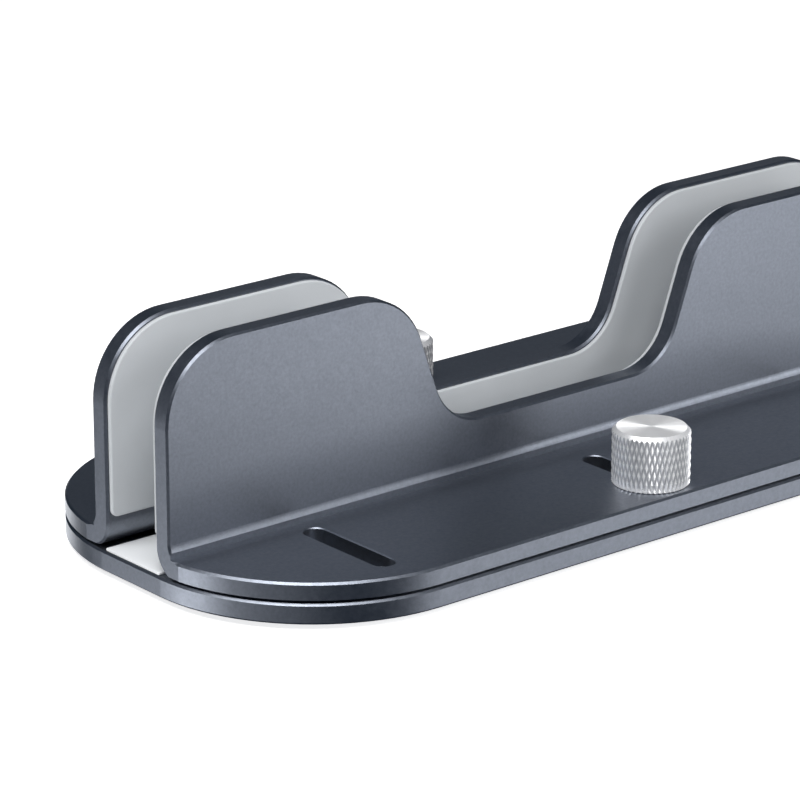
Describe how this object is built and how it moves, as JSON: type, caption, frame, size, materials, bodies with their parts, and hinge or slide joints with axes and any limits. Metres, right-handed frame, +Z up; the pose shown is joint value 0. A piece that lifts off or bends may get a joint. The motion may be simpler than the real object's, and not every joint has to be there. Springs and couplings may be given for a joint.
{
  "type": "adjustable vertical laptop stand",
  "caption": "Vertical laptop stand: a flat base with two bent, lobed brackets that slide apart on slots, lined with soft pads and clamped by knurled thumbscrews.",
  "frame": {"origin": "on the desk, under the middle of the stand", "axes": "+X along the laptop channel, +Y across it from the front bracket to the rear bracket, +Z up"},
  "size_m": [0.188, 0.09, 0.0488],
  "materials": {
    "anodised_aluminium": "bead-blasted and anodised space grey, satin, with broken edges",
    "white_silicone": "matte near-white silicone sheet",
    "grey_silicone": "matte light grey silicone sheet",
    "plated_steel": "bright nickel plate, turned top and knurled side",
    "black_rubber": "matte black rubber"
  },
  "bodies": {
    "base": {"base_plate": "anodised_aluminium", "base_pad": "white_silicone", "front_left_guide_pin": "plated_steel", "front_right_guide_pin": "plated_steel", "rear_right_guide_pin": "plated_steel", "rear_left_guide_pin": "plated_steel", "front_left_foot": "black_rubber", "front_right_foot": "black_rubber", "rear_right_foot": "black_rubber", "rear_left_foot": "black_rubber"},
    "front_bracket": {"front_bracket": "anodised_aluminium", "front_wall_pad": "grey_silicone"},
    "rear_bracket": {"rear_bracket": "anodised_aluminium", "rear_wall_pad": "grey_silicone"},
    "front_screw": {"front_stud": "plated_steel"},
    "rear_screw": {"rear_stud": "plated_steel"},
    "front_knob": {"front_knob": "plated_steel"},
    "rear_knob": {"rear_knob": "plated_steel"}
  },
  "joints": [
    {"name": "front_bracket_slide", "type": "slide", "parent": "base", "child": "front_bracket", "axis": [0, -1, 0], "range_m": [0, 0.015]},
    {"name": "rear_bracket_slide", "type": "slide", "parent": "base", "child": "rear_bracket", "axis": [0, 1, 0], "range_m": [0, 0.015]},
    {"name": "front_screw_lift", "type": "slide", "parent": "base", "child": "front_screw", "axis": [0, 0, 1], "range_m": [0, 0.0014]},
    {"name": "rear_screw_lift", "type": "slide", "parent": "base", "child": "rear_screw", "axis": [0, 0, 1], "range_m": [0, 0.0014]},
    {"name": "front_knob_turn", "type": "hinge", "parent": "front_screw", "child": "front_knob", "pos_m": [0.0012, -0.0363, 0.0147], "axis": [0, 0, 1], "range_deg": [0, 721]},
    {"name": "rear_knob_turn", "type": "hinge", "parent": "rear_screw", "child": "rear_knob", "pos_m": [-0.0012, 0.0363, 0.0147], "axis": [0, 0, 1], "range_deg": [0, 721]}
  ],
  "couplings": [
    {"joint": "front_knob_turn", "follows": "front_screw_lift", "rad_per_m": 8976},
    {"joint": "rear_knob_turn", "follows": "rear_screw_lift", "rad_per_m": 8976}
  ]
}
